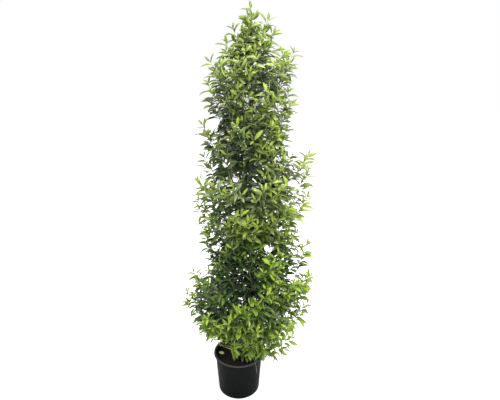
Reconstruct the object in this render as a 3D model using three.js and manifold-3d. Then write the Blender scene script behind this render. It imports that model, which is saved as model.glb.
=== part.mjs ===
// A laurel grown as a tall, loose column, furnished with leaves down to its black nursery pot.
// Millimetres, +Z up. The origin is the middle of the pot's flat underside, and the plant is seen
// from -Y, so -X is its left and +X its right.
import * as THREE from "three";
import { mergeVertices } from "three/addons/utils/BufferGeometryUtils.js";
import Module from "manifold-3d";

const wasm = await Module();
wasm.setup();

// ---- Driving dimensions ----------------------------------------------------------------------

const GAP = 0.3; // between pieces that touch

const POT_RIM_RADIUS = 175;
const POT_HEIGHT = 285;
const POT_WALL = 4;
const POT_FOOT_RADIUS = 143;
const POT_NECK_RADIUS = 163; // of the wall, just under the rim
const RIM_THICKNESS = 7;
const SOIL_DEPTH_BELOW_RIM = 34;
const POT_SIDES = 48;
const SOIL_TOP = POT_HEIGHT - SOIL_DEPTH_BELOW_RIM;

const JOINT_OVERRUN = 12; // past a joint, before a limb is cut flat there

const PLANT_TOP = 2545; // of the outline; the tip's own leaf ends just under it
const STEM_TOP = 2215; // the stem's cut end, under the leader's mass of leaves
const STEM_FOOT_X = 24; // the stem stands a little right of the pot's middle
const STEM_LEAN = 66; // and leans further right, most of it low down
const STEM_LEAN_HEIGHT = 380;
const STEM_WAVE = 9;
const STEM_FOOT_RADIUS = 15;
const STEM_TOP_RADIUS = 4;
const ROOT_FLARE = 8;
const ROOT_FLARE_HEIGHT = 45;

const BOUGH_COUNT = 19;
const BOUGH_LOW = 350; // height of the lowest mass's middle
const BOUGH_HIGH = 2190;
const BOUGH_CROWDING = 1.08; // above 1, the masses stand closer together low down
const LOWEST_RISE = 0.12; // slope of the lowest and of the highest bough, in radians
const HIGHEST_RISE = 0.95;
const MASS_START = 0.36; // of the way out to the crown's outline, where a bough ends and its mass begins
const BOUGH_RADIUS = 6.5; // where the lowest bough leaves the stem
const BOUGH_TIP_RADIUS = 3.6;
const FIRST_AZIMUTH = 2.97;
const GOLDEN_ANGLE = Math.PI * (3 - Math.sqrt(5));

// How far the crown reaches from the stem at each height: to the left, to the right, and towards the
// front and back, where it is cut back over the pot.
const OUTLINE = [
  { z: 255, left: 130, right: 250, deep: 125 },
  { z: 330, left: 210, right: 300, deep: 155 },
  { z: 430, left: 365, right: 330, deep: 205 },
  { z: 520, left: 410, right: 360, deep: 320 },
  { z: 600, left: 450, right: 395, deep: 400 },
  { z: 670, left: 490, right: 430, deep: 440 },
  { z: 860, left: 410, right: 455, deep: 425 },
  { z: 1080, left: 350, right: 425, deep: 385 },
  { z: 1250, left: 330, right: 320, deep: 330 },
  { z: 1380, left: 390, right: 365, deep: 375 },
  { z: 1560, left: 350, right: 420, deep: 380 },
  { z: 1760, left: 320, right: 250, deep: 290 },
  { z: 1840, left: 340, right: 270, deep: 305 },
  { z: 2000, left: 280, right: 280, deep: 280 },
  { z: 2210, left: 285, right: 290, deep: 285 },
  { z: 2350, left: 180, right: 175, deep: 180 },
  { z: 2450, left: 85, right: 125, deep: 105 },
  { z: PLANT_TOP, left: 25, right: 35, deep: 30 },
];

const STEM_SIDES = 10;
const BOUGH_SIDES = 5;
const BOUGH_STEPS = 4;
const TWIG_SIDES = 3;
const SHOOT_RADIUS = 7; // of a mass's own stem where it starts
const TWIG_RADIUS = 3.6;
const TWIG_TIP_RADIUS = 2.6;
const MASS_STEM_STEPS = 3;
const MASS_STEM_BEND = 0.06; // of its length
const TWIGS_PER_MASS = 7;
const SHORTEST_TWIG = 40;
const GOAL_DRAWS = 500; // of places for a mass's twigs to grow towards
const GOAL_SPREAD = 260; // above and below the mass's own stem
const LEAF_LENGTH = 168;
const LEAF_WIDTH = 84;
const LEAF_THICKNESS = 2.4;
const LEAF_ROOT_DEPTH = 1.8; // of the leaf stalk, where it is sunk in its twig
const SMALLEST_LEAF = 0.4; // of the full size, where a leaf has little room
const TIP_ROOM = 84; // from the end of a shoot to the crown's outline, for its last leaves
const LEAF_SPACING = 48;
const LEAF_SPREAD_LOW = 1.1; // angle between leaf and twig at the twig's foot and at its tip, in radians
const LEAF_SPREAD_HIGH = 0.2;
const LEAF_FLATNESS = 0.6; // how far the lowest leaves of a twig lie down
const LIMB_CLEARANCE = 3;
const POT_CLEARANCE = 8;
const CELL_MARGIN = 1.5; // kept on each side of the border between two masses
const SIMPLIFY_TOLERANCE = 0.05;

const FOLIAGE_SEED = 7;

// ---- Materials -------------------------------------------------------------------------------

const material = (color, roughness) => new THREE.MeshStandardMaterial({ color, roughness, metalness: 0 });
const potPlastic = material(0x22262a, 0.45);
const soilMaterial = material(0x211c16, 0.95);
const bark = material(0x5a5244, 0.85);
const foliage = material(0x5d7a34, 0.5);

// ---- Small helpers ---------------------------------------------------------------------------

const UP = new THREE.Vector3(0, 0, 1);
const point = (x, y, z) => new THREE.Vector3(x, y, z);
const lerp = THREE.MathUtils.lerp;

// A repeatable stream of numbers from 0 to 1 (mulberry32).
function seeded(seed) {
  let state = seed >>> 0;
  return () => {
    state = (state + 0x6d2b79f5) >>> 0;
    let t = state;
    t = Math.imul(t ^ (t >>> 15), t | 1);
    t ^= t + Math.imul(t ^ (t >>> 7), t | 61);
    return ((t ^ (t >>> 14)) >>> 0) / 4294967296;
  };
}

// Two directions square to axis, turned by phi about it.
function acrossAxis(axis, phi) {
  const helper = Math.abs(axis.z) < 0.95 ? UP : point(1, 0, 0);
  const side = new THREE.Vector3().crossVectors(axis, helper).normalize();
  const other = new THREE.Vector3().crossVectors(side, axis);
  return side.multiplyScalar(Math.cos(phi)).addScaledVector(other, Math.sin(phi));
}

function solidFrom(geometry) {
  const bare = geometry.clone();
  bare.deleteAttribute("normal");
  bare.deleteAttribute("uv");
  const merged = mergeVertices(bare, 1e-4);
  return new wasm.Manifold(
    new wasm.Mesh({
      numProp: 3,
      vertProperties: new Float32Array(merged.attributes.position.array),
      triVerts: new Uint32Array(merged.index.array),
    }),
  );
}

function geometryFrom(solid) {
  const mesh = solid.getMesh();
  return new THREE.BufferGeometry()
    .setAttribute("position", new THREE.BufferAttribute(mesh.vertProperties, 3))
    .setIndex(new THREE.BufferAttribute(mesh.triVerts, 1));
}

// The solid's largest body, so that a loose scrap is dropped and a sealed hollow filled.
function largestBody(solid) {
  return solid.decompose().reduce((a, b) => (b.volume() > a.volume() ? b : a));
}

// A closed round limb through centres, as rings of the given radii, with flat ends.
function limbGeometry(centres, radii, sides) {
  const positions = [];
  const faces = [];
  const last = centres.length - 1;
  centres.forEach((centre, i) => {
    const ahead = centres[Math.min(i + 1, last)];
    const behind = centres[Math.max(i - 1, 0)];
    const along = ahead.clone().sub(behind).normalize();
    for (let k = 0; k < sides; k++) {
      const rim = acrossAxis(along, (k / sides) * 2 * Math.PI).multiplyScalar(radii[i]).add(centre);
      positions.push(rim.x, rim.y, rim.z);
    }
  });
  for (let i = 0; i < last; i++)
    for (let k = 0; k < sides; k++) {
      const a = i * sides + k;
      const b = i * sides + ((k + 1) % sides);
      faces.push(a, a + sides, b, b, a + sides, b + sides);
    }
  for (let k = 1; k < sides - 1; k++) {
    const end = last * sides;
    faces.push(0, k, k + 1, end, end + k + 1, end + k);
  }
  return new THREE.BufferGeometry()
    .setAttribute("position", new THREE.Float32BufferAttribute(positions, 3))
    .setIndex(faces);
}

// Distance from p to the segment from a to b, and how far along it the nearest point is.
function toSegment(p, a, b) {
  const ab = b.clone().sub(a);
  const t = THREE.MathUtils.clamp(p.clone().sub(a).dot(ab) / ab.lengthSq(), 0, 1);
  return { t, distance: p.distanceTo(a.clone().addScaledVector(ab, t)) };
}

// ---- Pot and soil ----------------------------------------------------------------------------

function latheAboutZ(profile) {
  const points = profile.map(([r, z]) => new THREE.Vector2(r, z));
  return new THREE.LatheGeometry(points, POT_SIDES).rotateX(Math.PI / 2);
}

// A flared plastic tub with a thin out-turned rim; the profile runs up the outside and down the inside.
function potGeometry() {
  const foot = POT_FOOT_RADIUS;
  const neck = POT_NECK_RADIUS;
  const edge = 5;
  const rimFoot = POT_HEIGHT - RIM_THICKNESS;
  return latheAboutZ([
    [0, 0],
    [foot - edge, 0],
    [foot, edge],
    [neck, rimFoot],
    [POT_RIM_RADIUS - 1.5, rimFoot],
    [POT_RIM_RADIUS, rimFoot + 2],
    [POT_RIM_RADIUS - 1, POT_HEIGHT - 1.5],
    [POT_RIM_RADIUS - 4, POT_HEIGHT],
    [neck - 2, POT_HEIGHT],
    [neck - POT_WALL, rimFoot],
    [foot - POT_WALL, POT_WALL + 1],
    [0, POT_WALL + 1],
  ]);
}

function potInnerRadius(z) {
  const low = POT_WALL + 1;
  const high = POT_HEIGHT - RIM_THICKNESS;
  return lerp(POT_FOOT_RADIUS, POT_NECK_RADIUS, (z - low) / (high - low)) - POT_WALL;
}

// The potting compost that fills the tub, slightly heaped at the stem.
function soilGeometry() {
  const floor = POT_WALL + 1 + GAP;
  const heap = 6;
  return latheAboutZ([
    [0, floor],
    [potInnerRadius(floor) - 2 * GAP, floor],
    [potInnerRadius(SOIL_TOP - heap) - 2 * GAP, SOIL_TOP - heap],
    [POT_FOOT_RADIUS * 0.7, SOIL_TOP],
    [0, SOIL_TOP],
  ]);
}

// ---- Stem ------------------------------------------------------------------------------------

function stemCentre(z) {
  const above = z - SOIL_TOP;
  const x = STEM_FOOT_X + STEM_LEAN * (1 - Math.exp(-above / STEM_LEAN_HEIGHT));
  const sway = STEM_WAVE * Math.sin(above / 210);
  const sway2 = STEM_WAVE * Math.sin(above / 260 + 1.1) - STEM_WAVE * Math.sin(1.1);
  return point(x + sway * 0.5, sway2, z);
}

function stemRadius(z) {
  const t = (z - SOIL_TOP) / (STEM_TOP - SOIL_TOP);
  const flare = ROOT_FLARE * Math.exp(-((z - SOIL_TOP) / ROOT_FLARE_HEIGHT));
  return lerp(STEM_FOOT_RADIUS, STEM_TOP_RADIUS, Math.min(t, 1)) + flare;
}

// The stem, made thicker by extra, from a flat cut on the soil to its cut end.
function stemSolid(extra) {
  const low = SOIL_TOP + GAP;
  const heights = [low - JOINT_OVERRUN, low + 8, low + 22, low + 50];
  for (let z = low + 130; z < STEM_TOP - 60; z += 120) heights.push(z);
  heights.push(STEM_TOP);
  const centres = heights.map(stemCentre);
  const radii = heights.map((z) => stemRadius(z) + extra);
  return solidFrom(limbGeometry(centres, radii, STEM_SIDES)).trimByPlane([0, 0, 1], low);
}

// ---- The crown's outline and how it is shared out ----------------------------------------------

function outlineAt(z) {
  const i = OUTLINE.findIndex((row) => row.z > z);
  if (i <= 0) return i < 0 ? OUTLINE[OUTLINE.length - 1] : OUTLINE[0];
  const below = OUTLINE[i - 1];
  const above = OUTLINE[i];
  const t = (z - below.z) / (above.z - below.z);
  return {
    left: lerp(below.left, above.left, t),
    right: lerp(below.right, above.right, t),
    deep: lerp(below.deep, above.deep, t),
  };
}

// Reach of the crown from the stem at a height, in a direction about it.
function reach(z, azimuth) {
  const { left, right, deep } = outlineAt(z);
  const c = Math.cos(azimuth);
  return lerp(deep, c < 0 ? left : right, c * c);
}

function insideCrown(p) {
  if (p.z > PLANT_TOP || p.z < OUTLINE[0].z) return false;
  const centre = stemCentre(p.z);
  const dx = p.x - centre.x;
  const dy = p.y - centre.y;
  return Math.hypot(dx, dy) <= reach(p.z, Math.atan2(dy, dx));
}

function clearOfPot(p) {
  const r = Math.hypot(p.x, p.y);
  const overSoil = r < POT_NECK_RADIUS - POT_WALL - POT_CLEARANCE && p.z > SOIL_TOP + POT_CLEARANCE;
  return p.z > POT_HEIGHT + POT_CLEARANCE || r > POT_RIM_RADIUS + POT_CLEARANCE || overSoil;
}

// Each bough and its mass of leaves, spiralling up the stem: where the bough leaves the stem, where
// the mass begins, and where it ends just inside the crown's outline.
function boughPlan(i) {
  const share = i / (BOUGH_COUNT - 1);
  const middle = lerp(BOUGH_LOW, BOUGH_HIGH, share ** BOUGH_CROWDING);
  const azimuth = FIRST_AZIMUTH + i * GOLDEN_ANGLE;
  const out = point(Math.cos(azimuth), Math.sin(azimuth), 0);
  const rise = Math.tan(lerp(LOWEST_RISE, HIGHEST_RISE, Math.sqrt(share)));
  const width = reach(middle, azimuth);
  const at = (r) => {
    const z = middle + (r - 0.6 * width) * rise * 0.8;
    return stemCentre(z).addScaledVector(out, r);
  };
  const start = at(MASS_START * width);
  const end = at(width - TIP_ROOM);
  const leaving = start.z - MASS_START * width * (rise + 0.45);
  const root = stemCentre(Math.max(leaving, SOIL_TOP + 40));
  const way = end.clone().sub(start).normalize();
  const bend = start.clone().addScaledVector(way, -0.45 * root.distanceTo(start));
  return { root, bend, start, end, way, share };
}

const plans = Array.from({ length: BOUGH_COUNT }, (_, i) => boughPlan(i));

// The leader's mass carries on from the stem's end to the tip of the plant.
const leader = {
  start: stemCentre(STEM_TOP),
  end: stemCentre(PLANT_TOP - TIP_ROOM),
  way: UP,
};
const masses = [...plans, leader];

// A point belongs to the mass whose own line is nearest.
function belongsTo(p, owner) {
  const own = toSegment(p, owner.start, owner.end).distance + 2 * CELL_MARGIN;
  return masses.every((m) => m === owner || toSegment(p, m.start, m.end).distance > own);
}

// ---- Boughs ----------------------------------------------------------------------------------

function boughRadius(plan, t) {
  return lerp(BOUGH_RADIUS * lerp(1, 0.62, plan.share), BOUGH_TIP_RADIUS * lerp(1, 0.75, plan.share), t);
}

function boughCurve(plan) {
  return new THREE.QuadraticBezierCurve3(plan.root, plan.bend, plan.start);
}

// The bough, seated on the stem with a hair's gap and cut flat where its mass begins.
function boughSolid(plan, stemCutter) {
  const centres = boughCurve(plan).getPoints(BOUGH_STEPS);
  centres.push(plan.start.clone().addScaledVector(plan.way, JOINT_OVERRUN));
  const radii = centres.map((_, i) => boughRadius(plan, i / (centres.length - 1)));
  const limb = solidFrom(limbGeometry(centres, radii, BOUGH_SIDES));
  const past = plan.way.clone().negate();
  return largestBody(limb.trimByPlane(past.toArray(), past.dot(plan.start)).subtract(stemCutter));
}

const limbLines = plans.flatMap((plan) => {
  const centres = boughCurve(plan).getPoints(BOUGH_STEPS);
  return centres.slice(1).map((b, i) => ({ a: centres[i], b, radius: boughRadius(plan, i / BOUGH_STEPS) }));
});

function clearOfLimbs(p) {
  const stem = stemCentre(p.z);
  const fromStem = Math.hypot(p.x - stem.x, p.y - stem.y);
  if (p.z < STEM_TOP + LIMB_CLEARANCE && fromStem < stemRadius(p.z) + LIMB_CLEARANCE) return false;
  return limbLines.every(({ a, b, radius }) => toSegment(p, a, b).distance > radius + LIMB_CLEARANCE);
}

function fits(samples, owner) {
  return samples.every((p) => insideCrown(p) && clearOfPot(p) && belongsTo(p, owner) && clearOfLimbs(p));
}

// ---- Leaves and twigs ------------------------------------------------------------------------

// The six corners of one leaf: a stalk edge sunk in the twig, two sides, a keel and the tip.
function leafCorners(root, along, face, size) {
  const side = new THREE.Vector3().crossVectors(face, along).normalize();
  const length = LEAF_LENGTH * size;
  const width = LEAF_WIDTH * size;
  const middle = root.clone().addScaledVector(along, length * 0.46).addScaledVector(face, length * 0.035);
  const droop = length * 0.15 * (1 - Math.max(along.z, 0));
  const tip = root.clone().addScaledVector(along, length * 0.98).addScaledVector(UP, -droop);
  return {
    rootTop: root.clone().addScaledVector(face, LEAF_ROOT_DEPTH / 2),
    rootBottom: root.clone().addScaledVector(face, -LEAF_ROOT_DEPTH / 2),
    left: middle.clone().addScaledVector(side, width / 2),
    right: middle.clone().addScaledVector(side, -width / 2),
    keel: middle.clone().addScaledVector(face, -LEAF_THICKNESS),
    tip,
  };
}

// Eight faces: two on top, four below and two at the stalk.
function leafGeometry(c) {
  const corners = [c.rootTop, c.rootBottom, c.left, c.right, c.keel, c.tip];
  const [top, bottom, left, right, keel, tip] = [0, 1, 2, 3, 4, 5];
  const faces = [
    [top, right, left],
    [tip, left, right],
    [top, left, bottom],
    [top, bottom, right],
    [bottom, left, keel],
    [bottom, keel, right],
    [tip, keel, left],
    [tip, right, keel],
  ];
  return new THREE.BufferGeometry()
    .setAttribute("position", new THREE.Float32BufferAttribute(corners.flatMap((p) => p.toArray()), 3))
    .setIndex(faces.flat());
}

// Points spread over the blade, to test what it would touch.
function leafSamples({ rootTop, left, right, keel, tip }) {
  const samples = [];
  for (const t of [0.35, 0.6, 0.85, 1]) {
    for (const corner of [left, right, keel]) samples.push(rootTop.clone().lerp(corner, t));
    for (const corner of [left, right, keel]) samples.push(corner.clone().lerp(tip, t));
  }
  for (const t of [0.5, 0.75]) samples.push(left.clone().lerp(keel, t), right.clone().lerp(keel, t));
  return samples;
}

// Way and facing of a leaf on a shoot: it stands off one of the shoot's sides, and its face turns to
// the sky.
function leafStance(shootWay, side, spread, flatness) {
  const off = acrossAxis(shootWay, ((side + 0.5) / TWIG_SIDES) * 2 * Math.PI);
  const along = shootWay.clone().multiplyScalar(Math.cos(spread)).addScaledVector(off, Math.sin(spread));
  along.z = lerp(along.z, -0.12, flatness);
  along.normalize();
  const face = shootWay.clone().multiplyScalar(0.75).addScaledVector(UP, 0.65);
  face.addScaledVector(along, -face.dot(along)).normalize();
  return { along, face };
}

// How far a shoot can run from a point before its leaves would pass the crown's outline or its cell.
function roomAlong(from, way, owner, most) {
  const step = 5;
  let room = 0;
  while (room < most) {
    const p = from.clone().addScaledVector(way, room + step);
    if (!insideCrown(p) || !belongsTo(p, owner) || !clearOfPot(p)) break;
    room += step;
  }
  return room;
}

// Seeded places in the outer part of a mass's own share of the crown, for its twigs to grow towards.
function twigGoals(owner, random) {
  const low = Math.max(owner.start.z - GOAL_SPREAD, OUTLINE[0].z + 20);
  const high = Math.min(owner.end.z + GOAL_SPREAD, PLANT_TOP - TIP_ROOM);
  const goals = [];
  for (let n = 0; n < GOAL_DRAWS; n++) {
    const z = lerp(low, high, random());
    const azimuth = 2 * Math.PI * random();
    const r = reach(z, azimuth) - TIP_ROOM * lerp(0.8, 1.5, random());
    const goal = stemCentre(z).add(point(r * Math.cos(azimuth), r * Math.sin(azimuth), 0));
    if (r > 0 && belongsTo(goal, owner) && clearOfPot(goal)) goals.push(goal);
  }
  return goals;
}

// The stem of a mass: a shoot that carries on from its bough and bends towards the sky.
function massStem({ start, end, way }) {
  const length = start.distanceTo(end);
  const bend = start.clone().addScaledVector(way, 0.5 * length).addScaledVector(UP, -MASS_STEM_BEND * length);
  const centres = new THREE.QuadraticBezierCurve3(start, bend, end).getPoints(MASS_STEM_STEPS);
  return { centres, foot: SHOOT_RADIUS, length };
}

// The mass's stem as a solid, cut flat a hair's breadth from its bough's end.
function massStemSolid(stem, { start, way }) {
  const centres = [start.clone().addScaledVector(way, -JOINT_OVERRUN), ...stem.centres];
  const limb = solidFrom(twigGeometry({ centres, foot: stem.foot }));
  return limb.trimByPlane(way.toArray(), way.dot(start) + GAP);
}

// The point and the way of a twig at a share t of its steps.
function alongTwig({ centres }, t) {
  const steps = centres.length - 1;
  const i = Math.min(Math.floor(t * steps), steps - 1);
  const root = centres[i].clone().lerp(centres[i + 1], t * steps - i);
  return { root, way: centres[i + 1].clone().sub(centres[i]).normalize() };
}

// A straight side twig that leaves its mass's stem ahead of where it is nearest to the goal. Its foot
// is no wider than the stem is thick there, so that it starts wholly inside the stem.
function twigTowards(goal, owner, stem) {
  const nearest = toSegment(goal, owner.start, owner.end);
  const t = THREE.MathUtils.clamp(nearest.t - (0.5 * nearest.distance) / stem.length, 0.14, 0.9);
  const { root } = alongTwig(stem, t);
  const foot = Math.min(TWIG_RADIUS, 0.48 * lerp(SHOOT_RADIUS, TWIG_TIP_RADIUS, t));
  return { centres: [root, goal], foot, length: root.distanceTo(goal) };
}

function twigSamples(twig) {
  return [0.25, 0.4, 0.55, 0.7, 0.85, 1].map((t) => alongTwig(twig, t).root);
}

// The twigs of one mass: its own stem first, then side twigs, each to the place that is furthest from
// the twigs before it.
function massTwigs(owner, index) {
  const random = seeded(FOLIAGE_SEED + index * 101);
  const stem = massStem(owner);
  const twigs = [stem];
  let taken = twigSamples(stem);
  const goals = twigGoals(owner, random).map((goal) => ({ goal, space: Infinity }));
  while (twigs.length <= TWIGS_PER_MASS && goals.length > 0) {
    for (const place of goals)
      for (const p of taken) place.space = Math.min(place.space, place.goal.distanceTo(p));
    goals.sort((a, b) => b.space - a.space);
    const { goal, space } = goals.shift();
    if (space < SHORTEST_TWIG) break;
    const twig = twigTowards(goal, owner, stem);
    const open = fits(twigSamples(twig), owner);
    taken = open ? twigSamples(twig) : [];
    if (open) twigs.push(twig);
  }
  return twigs;
}

function twigGeometry({ centres, foot }) {
  const last = centres.length - 1;
  const radii = centres.map((_, i) => lerp(foot, TWIG_TIP_RADIUS, i / last));
  return limbGeometry(centres, radii, TWIG_SIDES);
}

// A solid with the box it fills, so that two that lie apart aren't compared in full.
function boxed(geometry) {
  geometry.computeBoundingBox();
  return { solid: solidFrom(geometry), box: geometry.boundingBox };
}

function crosses(a, b) {
  return a.box.intersectsBox(b.box) && !a.solid.intersect(b.solid).isEmpty();
}

// The leaf at place t of a twig, on the first of the twig's sides where it has room; null if none has.
function placedLeaf(twig, t, firstSide, fullSize, spread, owner, others) {
  const { root, way } = alongTwig(twig, t);
  for (let turn = 0; turn < TWIG_SIDES; turn++) {
    const { along, face } = leafStance(way, firstSide + turn, spread, LEAF_FLATNESS * (1 - t));
    const room = roomAlong(root, along, owner, LEAF_LENGTH * fullSize + 5) - 4;
    const size = Math.min(fullSize, room / LEAF_LENGTH);
    if (size < SMALLEST_LEAF) continue;
    const corners = leafCorners(root, along, face, size);
    if (!fits(leafSamples(corners), owner)) continue;
    const leaf = boxed(leafGeometry(corners));
    if (!others.some((other) => crosses(leaf, other))) return leaf;
  }
  return null;
}

// One mass: its twigs, and the leaves that fit along them and at their tips, fused into one solid.
function massSolid(owner, index) {
  const random = seeded(FOLIAGE_SEED + index * 101 + 7);
  const twigs = massTwigs(owner, index);
  const stems = twigs.map((twig) => boxed(twigGeometry(twig)));
  stems[0].solid = massStemSolid(twigs[0], owner);
  const leaves = [];
  twigs.forEach((twig, i) => {
    const count = Math.max(2, Math.round(twig.length / LEAF_SPACING));
    for (let k = 0; k < count; k++) {
      const t = lerp(i ? 0.3 : 0.16, 0.95, k / (count - 1));
      const spread = lerp(LEAF_SPREAD_LOW, LEAF_SPREAD_HIGH, t) + (random() - 0.5) * 0.3;
      const size = lerp(1, 0.85, t) * lerp(0.9, 1.08, random());
      const others = [...stems.filter((_, j) => j !== i), ...leaves];
      const leaf = placedLeaf(twig, t, k * 2, size, spread, owner, others);
      if (leaf) leaves.push(leaf);
    }
  });
  const fused = wasm.Manifold.union([...stems, ...leaves].map((piece) => piece.solid));
  return largestBody(fused).asOriginal().simplify(SIMPLIFY_TOLERANCE);
}

// ---- Assembly --------------------------------------------------------------------------------

const plant = new THREE.Group();
plant.name = "potted_laurel";

function addNode(name, geometry, meshMaterial) {
  const mesh = new THREE.Mesh(geometry, meshMaterial);
  mesh.name = name;
  plant.add(mesh);
}

const twoDigits = (i) => String(i + 1).padStart(2, "0");

addNode("pot", potGeometry(), potPlastic);
addNode("soil", soilGeometry(), soilMaterial);
addNode("main_stem", geometryFrom(stemSolid(0)), bark);

const stemCutter = stemSolid(GAP);
plans.forEach((plan, i) => {
  addNode(`bough_${twoDigits(i)}`, geometryFrom(boughSolid(plan, stemCutter)), bark);
});

masses.forEach((owner, i) => {
  const name = owner === leader ? "leader_foliage" : `foliage_${twoDigits(i)}`;
  addNode(name, geometryFrom(massSolid(owner, i)), foliage);
});

export default plant;
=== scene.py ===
"""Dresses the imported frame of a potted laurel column: limbs with bark, twigs, leaves, pot and compost.

Metres, in the frame's own axes: +Z up, the camera looks along +Y. The growth rule is the one that
shaped the solids, written again here and carried on to finer shoots and to leaves of real size.
"""
import math

import bpy
import numpy as np
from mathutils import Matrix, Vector, noise


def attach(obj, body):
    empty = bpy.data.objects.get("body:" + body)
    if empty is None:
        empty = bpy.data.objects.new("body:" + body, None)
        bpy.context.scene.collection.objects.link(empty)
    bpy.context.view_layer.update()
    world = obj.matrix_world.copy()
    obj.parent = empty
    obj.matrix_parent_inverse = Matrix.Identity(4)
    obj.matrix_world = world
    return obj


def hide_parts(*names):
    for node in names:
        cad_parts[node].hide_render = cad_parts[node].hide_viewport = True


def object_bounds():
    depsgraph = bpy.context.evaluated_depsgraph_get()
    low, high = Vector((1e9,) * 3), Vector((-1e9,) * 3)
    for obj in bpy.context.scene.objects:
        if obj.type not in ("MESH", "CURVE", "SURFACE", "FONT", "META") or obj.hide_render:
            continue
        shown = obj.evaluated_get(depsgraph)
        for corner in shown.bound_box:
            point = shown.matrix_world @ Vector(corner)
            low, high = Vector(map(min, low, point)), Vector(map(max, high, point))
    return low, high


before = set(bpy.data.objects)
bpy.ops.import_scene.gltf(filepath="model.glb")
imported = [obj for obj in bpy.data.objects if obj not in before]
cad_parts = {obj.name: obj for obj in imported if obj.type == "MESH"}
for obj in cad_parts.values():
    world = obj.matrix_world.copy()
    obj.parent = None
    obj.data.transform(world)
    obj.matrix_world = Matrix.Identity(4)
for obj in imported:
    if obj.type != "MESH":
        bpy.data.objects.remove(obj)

CAD_LOW, CAD_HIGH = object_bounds()

# ---- Driving dimensions: those of the solids ----

POT_RIM_RADIUS = 0.175
POT_HEIGHT = 0.285
POT_WALL = 0.004
POT_FOOT_RADIUS = 0.143
POT_NECK_RADIUS = 0.163
RIM_THICKNESS = 0.007
SOIL_TOP = POT_HEIGHT - 0.034

PLANT_TOP = 2.545
STEM_TOP = 2.215
STEM_FOOT_X = 0.024
STEM_LEAN = 0.066
STEM_LEAN_HEIGHT = 0.38
STEM_WAVE = 0.009
STEM_FOOT_RADIUS = 0.015
STEM_TOP_RADIUS = 0.004
ROOT_FLARE = 0.008
ROOT_FLARE_HEIGHT = 0.045

BOUGH_COUNT = 19
BOUGH_LOW = 0.35
BOUGH_HIGH = 2.19
BOUGH_CROWDING = 1.08
LOWEST_RISE = 0.12
HIGHEST_RISE = 0.95
MASS_START = 0.36
BOUGH_RADIUS = 0.0065
BOUGH_TIP_RADIUS = 0.0036
FIRST_AZIMUTH = 2.97
GOLDEN_ANGLE = math.pi * (3 - math.sqrt(5))

# Height, and how far the crown reaches from the stem: left, right, and towards the front and back.
OUTLINE = np.array([
    (0.255, 0.130, 0.250, 0.125),
    (0.330, 0.210, 0.300, 0.155),
    (0.430, 0.365, 0.330, 0.205),
    (0.520, 0.410, 0.360, 0.320),
    (0.600, 0.450, 0.395, 0.400),
    (0.670, 0.490, 0.430, 0.440),
    (0.860, 0.410, 0.455, 0.425),
    (1.080, 0.350, 0.425, 0.385),
    (1.250, 0.330, 0.320, 0.330),
    (1.380, 0.390, 0.365, 0.375),
    (1.560, 0.350, 0.420, 0.380),
    (1.760, 0.320, 0.250, 0.290),
    (1.840, 0.340, 0.270, 0.305),
    (2.000, 0.280, 0.280, 0.280),
    (2.210, 0.285, 0.290, 0.285),
    (2.350, 0.180, 0.175, 0.180),
    (2.450, 0.085, 0.125, 0.105),
    (PLANT_TOP, 0.025, 0.035, 0.030),
])

MASS_STEM_RADIUS = 0.0036
TWIG_RADIUS = 0.0025
TWIG_TIP_RADIUS = 0.0014
MASS_STEM_BEND = 0.06
TWIGS_PER_MASS = 7
SHORTEST_TWIG = 0.04
GOAL_DRAWS = 500
GOAL_SPREAD = 0.26
TIP_ROOM = 0.084
LIMB_CLEARANCE = 0.003
POT_CLEARANCE = 0.008
CELL_MARGIN = 0.0015
FOLIAGE_SEED = 7

# ---- Driving dimensions: the finer growth ----

FINE_REACH = 0.945  # of the outline
GROOVE_DEPTH = 0.092  # between the sprays that make up the crown's surface
OPEN_SIDE = 0.9  # share by which the grooves are deeper on the plant's right
LEAST_REACH = 0.3  # of the outline, however deep a groove or hollow is
SPRAY_DRAWS = 3000  # of places for the sprays between the listed ones
SPRAY_HEIGHTS = (0.33, 2.46)
SPRAY_SPACING = 0.135
SPRAY_WIDTH = 0.055
SPRAY_RISE = 0.02
# A spray's long shoots: how far each one ends below its head, aside, and in from its reach.
SPRAY_SHOOTS = [(0, 0, 0.05), (0.05, 0.048, 0.07), (0.06, -0.048, 0.075)]
SPRAY_REACH = (0.9, 1.03)  # shortest and longest, of the outline's reach
SILHOUETTE = math.radians(33)  # about the plain left and right, where the listed sprays lead
SIDE_FILL = 0.78  # of the outline's reach, for the other sprays there
SIDE_STEP = 0.17  # radians by which the listed ones stand before and behind plain left or right

# The sprays that make the crown's left and right edges: height, and reach from the stem.
LEFT_SPRAYS = [
    (0.440, 0.325), (0.520, 0.375), (0.600, 0.395), (0.690, 0.488), (0.905, 0.412), (1.110, 0.340),
    (1.235, 0.340), (1.360, 0.388), (1.515, 0.372), (1.640, 0.350), (1.845, 0.345), (1.960, 0.295),
    (2.080, 0.306), (2.200, 0.296), (2.300, 0.195), (2.375, 0.155),
]
RIGHT_SPRAYS = [
    (0.325, 0.325), (0.410, 0.365), (0.510, 0.378), (0.680, 0.435), (0.795, 0.448), (0.900, 0.440),
    (1.060, 0.430), (1.180, 0.345), (1.290, 0.330), (1.415, 0.395), (1.515, 0.408), (1.670, 0.388),
    (1.815, 0.262), (1.960, 0.275), (2.030, 0.266), (2.170, 0.252), (2.250, 0.292), (2.350, 0.172),
    (2.420, 0.145),
]

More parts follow.
